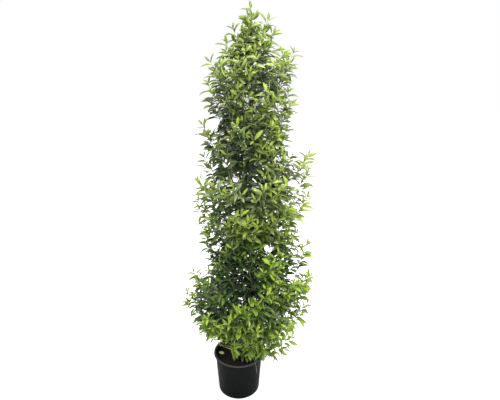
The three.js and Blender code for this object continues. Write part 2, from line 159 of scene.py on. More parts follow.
# Fresh sprays on the front: height, and azimuth in degrees. The back has the same, a little higher.
FRESH_SPRAYS = [
    (2.42, -90), (2.31, -65), (2.25, -100), (2.18, -108), (2.23, -35), (2.06, -110), (2.04, -68),
    (2.03, -50), (1.94, -92), (1.86, -112), (1.85, -62), (1.79, -88), (1.74, -68), (1.70, -45),
    (1.65, -62), (1.57, -68), (1.55, -52), (1.52, -76), (1.54, -110), (1.53, -136), (1.39, -100),
    (1.35, -108), (1.32, -93), (1.37, -72), (1.22, -35), (1.22, -86), (1.13, -58), (1.08, -66),
    (0.98, -64), (0.92, -40), (0.90, -73), (0.85, -89), (0.81, -101), (0.71, -110), (0.70, -90),
    (0.71, -132), (0.60, -138), (0.55, -116),
]
FRESH_LIFT = 0.03
# Hollows in the crown's front, where its dark inside shows, deepened by painted shade: height, azimuth in
# degrees, width, depth.
# The back has the same, lifted and turned.
HOLLOWS = [
    (2.05, -86, 0.045, 0.09), (2.01, -150, 0.06, 0.06), (1.89, -172, 0.055, 0.09), (1.96, -126, 0.04, 0.05),
    (1.84, -98, 0.03, 0.05), (1.76, -174, 0.04, 0.07), (1.74, -114, 0.045, 0.06), (1.71, -94, 0.035, 0.05),
    (1.63, -80, 0.035, 0.05), (1.47, -105, 0.03, 0.05), (1.45, -76, 0.04, 0.05), (1.31, -122, 0.035, 0.05),
    (1.22, -113, 0.035, 0.06), (1.19, -97, 0.03, 0.05), (1.07, -88, 0.055, 0.05), (0.97, -101, 0.1, 0.07),
    (0.8, -112, 0.035, 0.05), (0.77, -74, 0.04, 0.05),
]
HOLLOW_LIFT = 0.16
HOLLOW_TURN = 150  # degrees
SPRAYLESS_DEPTH = 0.03  # of a hollow or gap in which no further spray is placed
# Gaps that the sky shows through, as hollows in pairs: the near and the far end of one sight line.
GAPS = [
    (2.03, -96, 0.06, 0.18), (2.01, 98, 0.05, 0.16), (1.61, -105, 0.055, 0.18), (1.45, 107, 0.05, 0.16),
    (1.21, -70, 0.055, 0.18), (0.91, 70, 0.05, 0.16), (1.71, -61, 0.035, 0.1), (1.6, 58, 0.04, 0.1),
    (1.9, -135, 0.03, 0.1), (1.86, 142, 0.035, 0.1), (2.1, -54, 0.035, 0.1), (2.1, 50, 0.035, 0.1),
    (1.98, -57, 0.03, 0.1), (1.96, 51, 0.035, 0.1), (1.58, -50, 0.035, 0.11), (1.46, 48, 0.045, 0.11),
    (1.31, -57, 0.035, 0.1), (1.1, 57, 0.035, 0.08), (0.52, -35, 0.035, 0.1), (0.36, 25, 0.045, 0.1),
    (1.68, -119, 0.035, 0.1), (1.57, 121, 0.04, 0.1), (1.2, -126, 0.04, 0.1), (0.96, 130, 0.045, 0.1),
]
GAP_RADIUS = 0.019  # about the sight line, where no leaf is
# Sprays that droop over the pot's front: height, azimuth in degrees, and reach from the stem.
LOW_SPRAYS = [
    (0.3, -100, 0.13), (0.295, -82, 0.15), (0.3, -64, 0.16), (0.31, -42, 0.17),
    (0.315, -20, 0.225),
]
# A spray's tint runs from 0, old and dull, to 1, fresh. Its higher values on the plant's right are painted
# light.
LEFT_TINT = 0.3  # least tint of the left edge's sprays, lower than the right's: painted shade on the left
RIGHT_TINT = 0.5
LOW_TINT = 0.1
FRESH_TINT = 0.95
FILL_TINT = 0.15  # least tint, front and back, of the sprays between the listed ones
FILL_TINT_RANGE = 0.6
FILL_TINT_SIDE_LIGHT = 0.15  # more on the right, less on the left: painted light from the right

BARE_SIDE = -0.045  # left of this, leaves end above a plane that rises towards the front and the left
BARE_HEIGHT = 0.338
BARE_SLOPE = 0.73
BARE_RISE = 0.4
BARE_REACH = 0.34

SHOOT_DRAWS = 2600
SHOOT_SPACING = 0.084  # least distance between a shoot's tip and the other shoots
SHOOT_INSET = 0.028  # from the crown's surface, for a shoot's last leaves
SHOOT_DEPTH = 0.24  # how far in from there shoots still end
SHOOT_BACK = 0.13  # how far behind its end a shoot looks for its twig
LEADING_BACK = 0.2  # the same, for the long shoots of the sprays
LEADING_ROOM = 0.016  # past its spray's reach, for such a shoot's leaves
SHOOT_LIFT = (36, 70)  # degrees, flattest and steepest
TOP_LIFT = 8  # degrees more at the plant's top
DROOP = 80  # degrees less at the compost's height
DROOP_HEIGHT = 0.11
SHOOT_TOP_ROOM = 0.03
LEAST_CURVE = 0.03
STEM_ROOM = 0.02  # nearer to the stem's line no shoot ends
SHOOT_RADIUS = 0.0016
SHOOT_TIP_RADIUS = 0.0008
SHOOT_STATIONS = 8
LEAVES_PER_SHOOT = 15
LEAVES_PER_TWIG = 99
LEAFY_SHARE = 0.94  # of a line's length, from its tip, that has leaves
TIP_SPACING = 0.005  # between leaves at a shoot's tip, growing to OLD_SPACING
OLD_SPACING = 0.0173
INNER_SPACING = 0.021  # between the old leaves along twigs
INNER_TINT = 0.2
INNER_DEPTH = 0.2
SHOOT_SEED = 977

LEAF_LENGTH = 0.075
LEAF_WIDTH = 0.0215
LEAF_THICKNESS = 0.0007
SHORTEST_LEAF = 0.75  # of its full length, below which a leaf is dropped
SURFACE_ROOM = 0.02  # by which leaves may stand proud of the crown's surface
LIMIT_ROOM = 0.01  # past a leading shoot's limit
BOX_ROOM = 0.004  # past the solids' own box
OLD_PLACE = 6  # from a shoot's tip, where a leaf is old
# From the youngest leaf at a shoot's tip to the old ones:
LEAF_SPREAD = (30, 64)  # degrees off the shoot
LEAF_FLATNESS = (0.15, 0.6)
LEAF_SIZE = (0.55, 1.0)
LEAF_ARCH = (0.35, 1.00)  # radians
LEAF_FOLD = (0.65, 0.42)  # radians
LEAF_TILT = 0.4
HANGING_TILT = 1.2  # less at the compost's height
HANG_HEIGHT = 0.22
LOW_SHRINKAGE = 0.3  # share by which leaves at the compost's height are smaller
LOW_HEIGHT = 0.14

DRY_STALK = [(0.088, -0.095, 0.335), (0.122, -0.17, 0.32), (0.125, -0.134, 0.205)]  # ends and bend

CAMERA_PLACE = (0.079, -2.419, 2.097)
CAMERA_PITCH = 16.2  # degrees below level
CAMERA_LENS = 28.8

# ---- Small helpers ----

UP = np.array([0.0, 0.0, 1.0])


def lerp(a, b, t):
    return a + (b - a) * t


def unit(v):
    return v / np.maximum(np.linalg.norm(v, axis=-1, keepdims=True), 1e-12)


def seeded(seed):
    """A repeatable stream of numbers from 0 to 1 (mulberry32), as the solids' rule draws them."""
    state = seed & 0xFFFFFFFF

    def draw():
        nonlocal state
        state = (state + 0x6D2B79F5) & 0xFFFFFFFF
        t = state
        t = ((t ^ (t >> 15)) * (t | 1)) & 0xFFFFFFFF
        t ^= (t + (((t ^ (t >> 7)) * (t | 61)) & 0xFFFFFFFF)) & 0xFFFFFFFF
        return ((t ^ (t >> 14)) & 0xFFFFFFFF) / 4294967296

    return draw


def across_axis(axis, phi):
    """A direction square to each axis, turned by phi about it."""
    helper = np.where(np.abs(axis[..., 2:3]) < 0.95, UP, np.array([1.0, 0.0, 0.0]))
    side = unit(np.cross(axis, helper))
    other = np.cross(side, axis)
    phi = np.asarray(phi)[..., None]
    return side * np.cos(phi) + other * np.sin(phi)


def outward(azimuth):
    """The level way out from the stem at each azimuth."""
    return np.stack([np.cos(azimuth), np.sin(azimuth), 0 * azimuth], axis=-1)


def bezier(a, b, c, t):
    t = np.asarray(t)[:, None]
    return (1 - t) ** 2 * a + 2 * t * (1 - t) * b + t**2 * c


def to_segment(p, a, b):
    """How far along the segment from a to b the nearest point to each p is, and its distance."""
    ab = b - a
    t = np.clip(((p - a) @ ab) / (ab @ ab), 0, 1)
    return t, np.linalg.norm(p - (a + t[:, None] * ab), axis=1)


def room_left(room, places, taken):
    """The room about each place when the taken points are there too."""
    for p in taken:
        room = np.minimum(room, np.linalg.norm(places - p, axis=1))
    return room


def mesh_object(name, vertices, faces, smooth=True):
    mesh = bpy.data.meshes.new(name)
    mesh.from_pydata(vertices, [], faces)
    mesh.validate()
    mesh.update()
    if smooth:
        mesh.shade_smooth()
    obj = bpy.data.objects.new(name, mesh)
    bpy.context.collection.objects.link(obj)
    return obj


def dress(obj, slot, materials, *nodes):
    """The piece rides on the plant's one body, takes its materials and stands for these CAD nodes."""
    for material in materials:
        obj.data.materials.append(material)
    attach(obj, "root")
    if nodes:
        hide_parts(*nodes)
    return obj


# ---- Growth rule: stem, outline, boughs and masses ----


def stem_centre(z):
    z = np.asarray(z, dtype=float)
    above = z - SOIL_TOP
    sway = STEM_WAVE * np.sin(above / 0.21)
    x = STEM_FOOT_X + STEM_LEAN * (1 - np.exp(-above / STEM_LEAN_HEIGHT)) + 0.5 * sway
    y = STEM_WAVE * (np.sin(above / 0.26 + 1.1) - math.sin(1.1))
    return np.stack([x, y, z], axis=-1)


def stem_radius(z):
    t = np.minimum((z - SOIL_TOP) / (STEM_TOP - SOIL_TOP), 1)
    flare = ROOT_FLARE * np.exp(-(z - SOIL_TOP) / ROOT_FLARE_HEIGHT)
    return lerp(STEM_FOOT_RADIUS, STEM_TOP_RADIUS, t) + flare


def reach(z, azimuth):
    left, right, deep = (np.interp(z, OUTLINE[:, 0], OUTLINE[:, k]) for k in (1, 2, 3))
    c = np.cos(azimuth)
    return lerp(deep, np.where(c < 0, left, right), c * c)


def about_stem(p):
    """Distance from the stem's line and azimuth about it."""
    off = p - stem_centre(p[:, 2])
    return np.hypot(off[:, 0], off[:, 1]), np.arctan2(off[:, 1], off[:, 0])


def inside_crown(p):
    r, azimuth = about_stem(p)
    return (r <= reach(p[:, 2], azimuth)) & (p[:, 2] <= PLANT_TOP) & (p[:, 2] >= OUTLINE[0, 0])


def clear_of_pot(p):
    r = np.hypot(p[:, 0], p[:, 1])
    inside = r < POT_NECK_RADIUS - POT_WALL - POT_CLEARANCE
    over_soil = inside & (p[:, 2] > SOIL_TOP + POT_CLEARANCE)
    return (p[:, 2] > POT_HEIGHT + POT_CLEARANCE) | (r > POT_RIM_RADIUS + POT_CLEARANCE) | over_soil


def bough_plan(i):
    share = i / (BOUGH_COUNT - 1)
    middle = lerp(BOUGH_LOW, BOUGH_HIGH, share**BOUGH_CROWDING)
    azimuth = FIRST_AZIMUTH + i * GOLDEN_ANGLE
    out = np.array([math.cos(azimuth), math.sin(azimuth), 0.0])
    rise = math.tan(lerp(LOWEST_RISE, HIGHEST_RISE, math.sqrt(share)))
    width = float(reach(middle, azimuth))

    def at(r):
        return stem_centre(middle + (r - 0.6 * width) * rise * 0.8) + out * r

    start = at(MASS_START * width)
    end = at(width - TIP_ROOM)
    leaving = start[2] - MASS_START * width * (rise + 0.45)
    root = stem_centre(max(leaving, SOIL_TOP + 0.04))
    way = unit(end - start)
    bend = start - way * 0.45 * np.linalg.norm(start - root)
    return {"root": root, "bend": bend, "start": start, "end": end, "way": way, "share": share}


PLANS = [bough_plan(i) for i in range(BOUGH_COUNT)]
LEADER = {"start": stem_centre(STEM_TOP), "end": stem_centre(PLANT_TOP - TIP_ROOM), "way": UP, "share": 1}
MASSES = [*PLANS, LEADER]


def bough_radius(plan, t):
    thick = BOUGH_RADIUS * lerp(1, 0.62, plan["share"])
    thin = BOUGH_TIP_RADIUS * lerp(1, 0.75, plan["share"])
    return lerp(thick, thin, t)


def belongs_to(p, owner):
    distances = np.stack([to_segment(p, m["start"], m["end"])[1] for m in MASSES], axis=1)
    own = distances[:, owner].copy() + 2 * CELL_MARGIN
    distances[:, owner] = np.inf
    return (distances > own[:, None]).all(axis=1)


def limb_lines():
    lines = []
    for plan in PLANS:
        centres = bezier(plan["root"], plan["bend"], plan["start"], np.linspace(0, 1, 5))
        lines += [(centres[i], centres[i + 1], bough_radius(plan, i / 4)) for i in range(4)]
    return lines


LIMB_LINES = limb_lines()


def clear_of_limbs(p):
    z = p[:, 2]
    clear = (z >= STEM_TOP + LIMB_CLEARANCE) | (about_stem(p)[0] >= stem_radius(z) + LIMB_CLEARANCE)
    for a, b, radius in LIMB_LINES:
        clear &= to_segment(p, a, b)[1] > radius + LIMB_CLEARANCE
    return clear


def fits(p, owner):
    return bool((inside_crown(p) & clear_of_pot(p) & belongs_to(p, owner) & clear_of_limbs(p)).all())


# ---- Growth rule: the twigs of a mass, as in the solids ----


def drawn_places(owner, random, count, columns, top_room):
    """Seeded heights and azimuths about a mass, and the rest of the numbers drawn with them."""
    mass = MASSES[owner]
    low = max(mass["start"][2] - GOAL_SPREAD, OUTLINE[0, 0] + 0.020)
    high = min(mass["end"][2] + GOAL_SPREAD, PLANT_TOP - top_room)
    draws = np.array([random() for _ in range(columns * count)]).reshape(-1, columns)
    return lerp(low, high, draws[:, 0]), 2 * math.pi * draws[:, 1], draws[:, 2:].T


def twig_goals(owner, random):
    z, azimuth, (inset,) = drawn_places(owner, random, GOAL_DRAWS, 3, TIP_ROOM)
    r = reach(z, azimuth) - TIP_ROOM * lerp(0.8, 1.5, inset)
    goals = stem_centre(z) + r[:, None] * outward(azimuth)
    return goals[(r > 0) & belongs_to(goals, owner) & clear_of_pot(goals)]


def mass_stem(owner):
    mass = MASSES[owner]
    length = np.linalg.norm(mass["end"] - mass["start"])
    bend = mass["start"] + mass["way"] * 0.5 * length - UP * MASS_STEM_BEND * length
    return bezier(mass["start"], bend, mass["end"], np.linspace(0, 1, 4))


def along_line(centres, t):
    """Points and ways at shares t of a line's steps."""
    steps = len(centres) - 1
    t = np.asarray(t, dtype=float)
    i = np.minimum((t * steps).astype(int), steps - 1)
    part = (t * steps - i)[:, None]
    return lerp(centres[i], centres[i + 1], part), unit(centres[i + 1] - centres[i])


def mass_twigs(owner):
    """Each twig runs to the place that is furthest from the twigs before it."""
    mass = MASSES[owner]
    samples = np.array([0.25, 0.4, 0.55, 0.7, 0.85, 1])
    stem = mass_stem(owner)
    length = np.linalg.norm(mass["end"] - mass["start"])
    goals = twig_goals(owner, seeded(FOLIAGE_SEED + owner * 101))
    space = np.full(len(goals), np.inf)
    taken = along_line(stem, samples)[0]
    twigs = [stem]
    while len(twigs) <= TWIGS_PER_MASS and len(goals):
        space = room_left(space, goals, taken)
        best = int(np.argmax(space))
        goal = goals[best]
        if space[best] < SHORTEST_TWIG:
            break
        goals, space = np.delete(goals, best, 0), np.delete(space, best)
        t, distance = to_segment(goal[None], mass["start"], mass["end"])
        leaves_at = np.clip(t[0] - 0.5 * distance[0] / length, 0.14, 0.9)
        line = np.array([along_line(stem, [leaves_at])[0][0], goal])
        taken = along_line(line, samples)[0]
        if fits(taken, owner):
            twigs.append(line)
        else:
            taken = []
    return twigs


# ---- Growth rule carried on: sprays and shoots ----


def turned(a, b):
    """The smallest angle between two azimuths."""
    return np.abs((a - b + math.pi) % (2 * math.pi) - math.pi)


def apart(z, azimuth, r, other_z, other_azimuth):
    """How far places on the crown's surface are from another, measured over the surface."""
    return np.hypot(z - other_z, r * turned(azimuth, other_azimuth))


def pressed(z, azimuth, full, places):
    """How deep the crown's surface is pushed in at the given places."""
    depth = np.zeros_like(z)
    for height, angle, width, most in places:
        away = apart(z, azimuth, full, height, math.radians(angle))
        depth = np.maximum(depth, most * np.exp(-0.5 * (away / width) ** 2))
    return depth


def hollowed(z, azimuth, full):
    """The depth of the hollows, front and back."""
    behind = [(height + HOLLOW_LIFT, angle + HOLLOW_TURN, *size) for height, angle, *size in HOLLOWS]
    return pressed(z, azimuth, full, HOLLOWS + behind)


def sunk(z, azimuth, full):
    """The depth of the hollows and gaps together."""
    return np.maximum(hollowed(z, azimuth, full), pressed(z, azimuth, full, GAPS))


def spray_table():
    """The crown's sprays: height, azimuth, reach and tint."""
    random = seeded(SHOOT_SEED)
    sprays = []
    for side, places, dull in ((math.pi, LEFT_SPRAYS, LEFT_TINT), (0.0, RIGHT_SPRAYS, RIGHT_TINT)):
        for n, (z, r) in enumerate(places):
            sprays.append((z, side + SIDE_STEP * (-1) ** n, r, lerp(dull, 1.0, random())))
    sprays += [(z, math.radians(a), r, LOW_TINT) for z, a, r in LOW_SPRAYS]
    for lift, turn in ((0, 0), (FRESH_LIFT, 180)):
        for z, a in FRESH_SPRAYS:
            azimuth = math.radians(a + turn)
            sprays.append((z + lift, azimuth, FINE_REACH * float(reach(z + lift, azimuth)), FRESH_TINT))
    draws = np.array([random() for _ in range(4 * SPRAY_DRAWS)]).reshape(-1, 4)
    z = lerp(*SPRAY_HEIGHTS, draws[:, 0])
    azimuth = 2 * math.pi * draws[:, 1]
    beside = np.minimum(turned(azimuth, 0), turned(azimuth, math.pi)) < SILHOUETTE
    full = FINE_REACH * reach(z, azimuth)
    lengths = full * np.where(beside, SIDE_FILL, lerp(*SPRAY_REACH, draws[:, 2]))
    # Painted light: sprays towards the plant's right get a higher tint.
    tints = FILL_TINT_RANGE * draws[:, 3] + FILL_TINT + FILL_TINT_SIDE_LIGHT * np.cos(azimuth)
    space = np.where(sunk(z, azimuth, full) > SPRAYLESS_DEPTH, 0, np.inf)
    for spray in sprays:
        space = np.minimum(space, apart(z, azimuth, full, *spray[:2]))
    best = int(np.argmax(space))
    while space[best] > SPRAY_SPACING:
        sprays.append((z[best], azimuth[best], lengths[best], tints[best]))
        space = np.minimum(space, apart(z, azimuth, full, z[best], azimuth[best]))
        best = int(np.argmax(space))
    return np.array(sprays)


SPRAYS = spray_table()


def from_sprays(z, azimuth, r):
    """The distance from each place to each spray."""
    return apart(z[:, None], azimuth[:, None], r[:, None], SPRAYS[:, 0], SPRAYS[:, 1])


def surface(z, azimuth):
    """How far the dressed crown reaches: a groove's depth inside the outline, raised at each spray."""
    full = FINE_REACH * reach(z, azimuth)
    groove = GROOVE_DEPTH * (1 + OPEN_SIDE * np.maximum(np.cos(azimuth), 0) ** 2)
    low = np.maximum(full - groove - sunk(z, azimuth, full), LEAST_REACH * full)
    away = from_sprays(z, azimuth, full)
    rise = (SPRAYS[:, 2] - low[:, None]) * np.exp(-0.5 * (away / SPRAY_WIDTH) ** 2)
    return low + np.maximum(rise.max(axis=1), 0)


def spray_tint(p):
    """The tint of the spray nearest to each point."""
    r, azimuth = about_stem(p)
    return SPRAYS[np.argmin(from_sprays(p[:, 2], azimuth, r), axis=1), 3]


def rising(z, out, steepness, swing):
    """Way of a shoot's end: outward and up, steeper near the top, and drooping over the pot."""
    droop = DROOP * np.exp(-(z - SOIL_TOP) / DROOP_HEIGHT)
    lift = np.radians(lerp(*SHOOT_LIFT, steepness) + TOP_LIFT * (z / PLANT_TOP) ** 2 - droop)
    aside = np.stack([-out[:, 1], out[:, 0], 0 * z], axis=1)
    return unit(out * np.cos(lift)[:, None] + UP * np.sin(lift)[:, None] + aside * swing[:, None])


def shoot_to(end, way, carriers, back):
    """The curved line of a shoot, from the carrier nearest behind its end."""
    root = carriers[int(np.argmin(np.linalg.norm(carriers - (end - way * back), axis=1)))]
    run = np.linalg.norm(end - root)
    return bezier(root, end - way * max(0.5 * run, LEAST_CURVE), end, np.linspace(0, 1, SHOOT_STATIONS))


def leading_shoots(carriers):
    """The long shoots at the head of each spray, which reach the crown's surface."""
    shoots = []
    for fall, aside, inset in SPRAY_SHOOTS:
        r = SPRAYS[:, 2] - inset
        z = SPRAYS[:, 0] + SPRAY_RISE - fall
        azimuth = SPRAYS[:, 1] + aside / np.maximum(r, 0.1)
        out = outward(azimuth)
        ends = stem_centre(z) + r[:, None] * out
        turns = np.modf(np.arange(len(z)) * GOLDEN_ANGLE)[0]
        ways = rising(z, out, 0.3 + 0.6 * turns, 6 * aside + 0.4 * (turns - 0.5))
        free = (z > OUTLINE[0, 0] + 0.03) & (r > STEM_ROOM) & clear_of_pot(ends)
        for n in np.flatnonzero(free):
            line = shoot_to(ends[n], ways[n], carriers, LEADING_BACK)
            limit = SPRAYS[n, 2] + LEADING_ROOM
            shoots.append({"line": line, "tint": SPRAYS[n, 3], "depth": 0.0, "limit": limit})
    return shoots


def shoot_ends(owner, random):
    """Seeded places through a mass's share of the crown where shoots may end, their ways and depths."""
    z, azimuth, (inset, steepness, swing, _) = drawn_places(owner, random, SHOOT_DRAWS, 6, SHOOT_TOP_ROOM)
    depth = SHOOT_DEPTH * inset**1.5
    r = surface(z, azimuth) - SHOOT_INSET - depth
    out = outward(azimuth)
    ends = stem_centre(z) + r[:, None] * out
    way = rising(z, out, steepness, 0.9 * (swing - 0.5))
    keep = (r > STEM_ROOM) & belongs_to(ends, owner) & clear_of_pot(ends)
    return ends[keep], way[keep], depth[keep]


def mass_shoots(owner, carriers, leading):
    """Shoots that end at places spread through the mass, clear of the shoots before them."""
    ends, ways, depths = shoot_ends(owner, seeded(SHOOT_SEED + owner * 131))
    tints = spray_tint(ends)
    space = room_left(np.full(len(ends), np.inf), ends, leading)
    shoots = []
    while len(ends):
        best = int(np.argmax(space))
        if space[best] < SHOOT_SPACING:
            break
        line = shoot_to(ends[best], ways[best], carriers, SHOOT_BACK)
        shoots.append({"line": line, "tint": tints[best], "depth": depths[best], "limit": 0.0})
        space = room_left(space, ends, line[3:])
    return shoots


def leader_shoot():
    """The plant's own tip, which runs on from the stem."""
    top = stem_centre(2.5)
    line = bezier(stem_centre(STEM_TOP), stem_centre(2.36), top, np.linspace(0, 1, SHOOT_STATIONS))
    return {"line": line, "tint": 0.9, "depth": 0.0, "limit": 0.15}


# ---- Meshes: limbs and twigs ----

STEM_SIDES = 22
STEM_RELIEF = 0.0008
BOUGH_SIDES = 12
BOUGH_RELIEF = 0.0004
COLLAR = 0.0022  # by which a bough is thicker at its root
COLLAR_SHARE = 0.08  # of the bough's length, over which that fades


def tube(centres, radii, sides):
    """Vertices and faces of a closed tube."""
    ways = unit(np.gradient(centres, axis=0))[:, None]
    angles = np.arange(sides) / sides * 2 * math.pi
    vertices = (centres[:, None] + radii[:, None, None] * across_axis(ways, angles)).reshape(-1, 3)
    faces = []
    for i in range(len(centres) - 1):
        for k in range(sides):
            a, b = i * sides + k, i * sides + (k + 1) % sides
            faces.append((a, a + sides, b + sides, b))
    faces.append(tuple(range(sides)))
    faces.append(tuple(reversed(range(len(vertices) - sides, len(vertices)))))
    return vertices, faces


def join_tubes(name, tubes):
    vertices, faces, base = [], [], 0
    for points, polygons in tubes:
        vertices.append(points)
        faces += [tuple(v + base for v in polygon) for polygon in polygons]
        base += len(points)
    return mesh_object(name, np.concatenate(vertices).tolist(), faces)


def bark_relief(centres, points, sides, depth):
    """Pushes a limb's points in and out: long shallow furrows and a finer grain."""
    for n, p in enumerate(points):
        centre = centres[n // sides]
        way = unit(p - centre)
        furrow = noise.noise(Vector((p[0] * 150, p[1] * 150, p[2] * 22)))
        grain = noise.noise(Vector((p[0] * 420, p[1] * 420, p[2] * 260)))
        points[n] = p + way * depth * (furrow + 0.45 * grain)
    return points


def limb_tubes():
    heights = np.concatenate([np.linspace(SOIL_TOP + 0.0003, 0.36, 40), np.linspace(0.364, STEM_TOP, 330)])
    centres = stem_centre(heights)
    points, faces = tube(centres, stem_radius(heights), STEM_SIDES)
    tubes = [(bark_relief(centres, points, STEM_SIDES, STEM_RELIEF), faces)]
    for plan in PLANS:
        t = np.linspace(0, 1, 26)
        centres = bezier(plan["root"], plan["bend"], plan["start"], t)
        radii = bough_radius(plan, t) + COLLAR * np.exp(-t / COLLAR_SHARE)
        points, faces = tube(centres, radii, BOUGH_SIDES)
        tubes.append((bark_relief(centres, points, BOUGH_SIDES, BOUGH_RELIEF), faces))
    return tubes


# ---- Meshes: leaves ----

# Along a blade: share of its length, and half its width as a share of the full width.
BLADE = np.array([(0, 0), (0.08, 0.05), (0.24, 0.36), (0.46, 0.5), (0.7, 0.4), (0.89, 0.15), (1, 0)])
BLADE_POINTS = 2 + 4 * (len(BLADE) - 2)
TESTED_POINTS = (11, 12, 14, 15, BLADE_POINTS - 1)  # both edges half way, the blade further out, the tip


def blade_faces():
    """Faces of a leaf's upper and lower side. Its points run stalk, (mid, under, left, right)..., tip."""
    tip = BLADE_POINTS - 1
    stations = [(0,) * 4, *(range(k, k + 4) for k in range(1, tip, 4)), (tip,) * 4]
    upper, lower = [], []
    for (am, au, al, ar), (bm, bu, bl, br) in zip(stations, stations[1:]):
        upper += [(am, ar, br), (am, br, bm), (al, am, bm), (al, bm, bl)]
        lower += [(au, br, ar), (au, bu, br), (al, bu, au), (al, bl, bu)]
    return [np.array([face for face in side if len(set(face)) == 3]) for side in (upper, lower)]


UPPER_FACES, LOWER_FACES = blade_faces()


def blade_vertices(leaves):
    """All the leaves' points at once. A blade is folded along its midrib and arches down to its tip."""
    count = len(leaves["root"])
    root, along, face = leaves["root"], leaves["along"], leaves["face"]
    side = np.cross(face, along)
    arch = leaves["arch"][:, None]
    points = np.zeros((count, BLADE_POINTS, 3))
    points[:, 0] = root
    for i, (share, half) in enumerate(BLADE[1:], start=1):
        turn = arch * share
        forward = leaves["length"][:, None] * np.sin(turn) / arch
        down = leaves["length"][:, None] * (1 - np.cos(turn)) / arch
        centre = root + along * forward - face * down
        if i == len(BLADE) - 1:
            points[:, -1] = centre
            break
        normal = face * np.cos(turn) + along * np.sin(turn)
        out = leaves["width"][:, None] * half
        lift = normal * out * np.tan(leaves["fold"])[:, None]
        base = 1 + 4 * (i - 1)
        points[:, base] = centre
        points[:, base + 1] = centre - normal * LEAF_THICKNESS
        points[:, base + 2] = centre + side * out + lift
        points[:, base + 3] = centre - side * out + lift
    return points


def leaf_stance(rows, spread, flat, tilt, roll):
    """Way and facing of leaves on a shoot: they stand off it, and face the sky, outwards and aside."""
    ways, phi = rows[:, 3:6], rows[:, 6]
    off = across_axis(ways, phi)
    along = ways * np.cos(spread)[:, None] + off * np.sin(spread)[:, None]
    along[:, 2] = lerp(along[:, 2], tilt, flat)
    along = unit(along)
    out = outward(about_stem(rows[:, 0:3])[1])
    aside = off - out * (off * out).sum(axis=1, keepdims=True)
    aside[:, 2] = 0
    face = out * 0.46 + UP * 0.64 + aside * 0.78
    face = unit(face - along * (face * along).sum(axis=1, keepdims=True))
    side = np.cross(face, along)
    return along, face * np.cos(roll)[:, None] + side * np.sin(roll)[:, None]


def leaf_rows(line, most, spacing, facts, random):
    """Root, way, turn, place from the tip and the shoot's facts for each leaf on a line, tip first."""
    lengths = np.concatenate([[0], np.cumsum(np.linalg.norm(np.diff(line, axis=0), axis=1))])
    total = lengths[-1]
    turn = random.random() * 2 * math.pi
    rows, back = [], 0.0
    while back < total * LEAFY_SHARE and len(rows) < most:
        k = len(rows)
        t = np.interp(total - back, lengths, np.linspace(0, 1, len(line)))
        root, way = along_line(line, [t])
        rows.append((*root[0], *way[0], turn + k * GOLDEN_ANGLE, k, *facts))
        back += lerp(*spacing, min(k / 5, 1)) * random.uniform(0.85, 1.2)
    return rows


def leaf_table(shoots, twigs, random):
    """The rows of all the leaves: those of the shoots, and then the old ones along the twigs."""
    rows = []
    for shoot in shoots:
        facts = (shoot["tint"], shoot["depth"], shoot["limit"])
        rows += leaf_rows(shoot["line"], LEAVES_PER_SHOOT, (TIP_SPACING, OLD_SPACING), facts, random)
    on_shoots = len(rows)
    for line in twigs:
        facts = (INNER_TINT, INNER_DEPTH, 0.0)
        rows += leaf_rows(line, LEAVES_PER_TWIG, (INNER_SPACING, INNER_SPACING), facts, random)
    rows = np.array(rows)
    rows[on_shoots:, 7] = OLD_PLACE
    return rows


def grown_leaves(rows, random):
    """Turns each row of root, way, turn, place and facts into a leaf of its own size and stance."""
    age = np.minimum(rows[:, 7] / OLD_PLACE, 1)
    jitter = random.standard_normal((len(rows), 6))
    height = rows[:, 2] - SOIL_TOP
    spread = np.radians(lerp(*LEAF_SPREAD, age) + 7 * jitter[:, 0])
    tilt = LEAF_TILT - HANGING_TILT * np.exp(-height / HANG_HEIGHT) + 0.17 * jitter[:, 1]
    roll = 0.38 * jitter[:, 2]
    along, face = leaf_stance(rows, spread, lerp(*LEAF_FLATNESS, age), tilt, roll)
    size = lerp(*LEAF_SIZE, np.minimum(age * 1.7, 1)) * (1 + 0.12 * jitter[:, 3])
    size *= 1 - LOW_SHRINKAGE * np.exp(-height / LOW_HEIGHT)
    return {
        "root": rows[:, 0:3],
        "along": along,
        "face": face,
        "length": LEAF_LENGTH * np.clip(size, 0.45, 1.25),
        "width": LEAF_WIDTH * np.clip(size, 0.5, 1.2) * (1 + 0.08 * jitter[:, 4]),
        "arch": np.clip(lerp(*LEAF_ARCH, age) + 0.22 * jitter[:, 5], 0.08, 1.6),
        "fold": np.clip(lerp(*LEAF_FOLD, age) + 0.1 * jitter[:, 0], 0.08, 0.9),
        "age": age,
        "tint": rows[:, 8],
        "depth": rows[:, 9],
        "limit": rows[:, 10],
    }


def over_bare_soil(p):
    """Where leaves would hide the compost at the pot's left."""
    plane = BARE_HEIGHT - BARE_SLOPE * p[:, 1] - BARE_RISE * (p[:, 0] - BARE_SIDE)
    return (p[:, 0] < BARE_SIDE) & (p[:, 2] < plane) & (about_stem(p)[0] < BARE_REACH)


def gap_end(height, angle):
    azimuth = math.radians(angle)
    return stem_centre(height) + FINE_REACH * float(reach(height, azimuth)) * outward(azimuth)


def in_gap(p):
    """Whether points lie close to the sight line of a gap, between its two ends."""
    near = np.zeros(len(p), bool)
    for front, back in zip(GAPS[::2], GAPS[1::2]):
        start, way = gap_end(*front[:2]), gap_end(*back[:2]) - gap_end(*front[:2])
        share = np.clip((p - start) @ way / (way @ way), 0, 1)
        near |= np.linalg.norm(p - start - share[:, None] * way, axis=1) < GAP_RADIUS
    return near


def chosen(leaves, mask):
    return {key: values[mask] for key, values in leaves.items()}


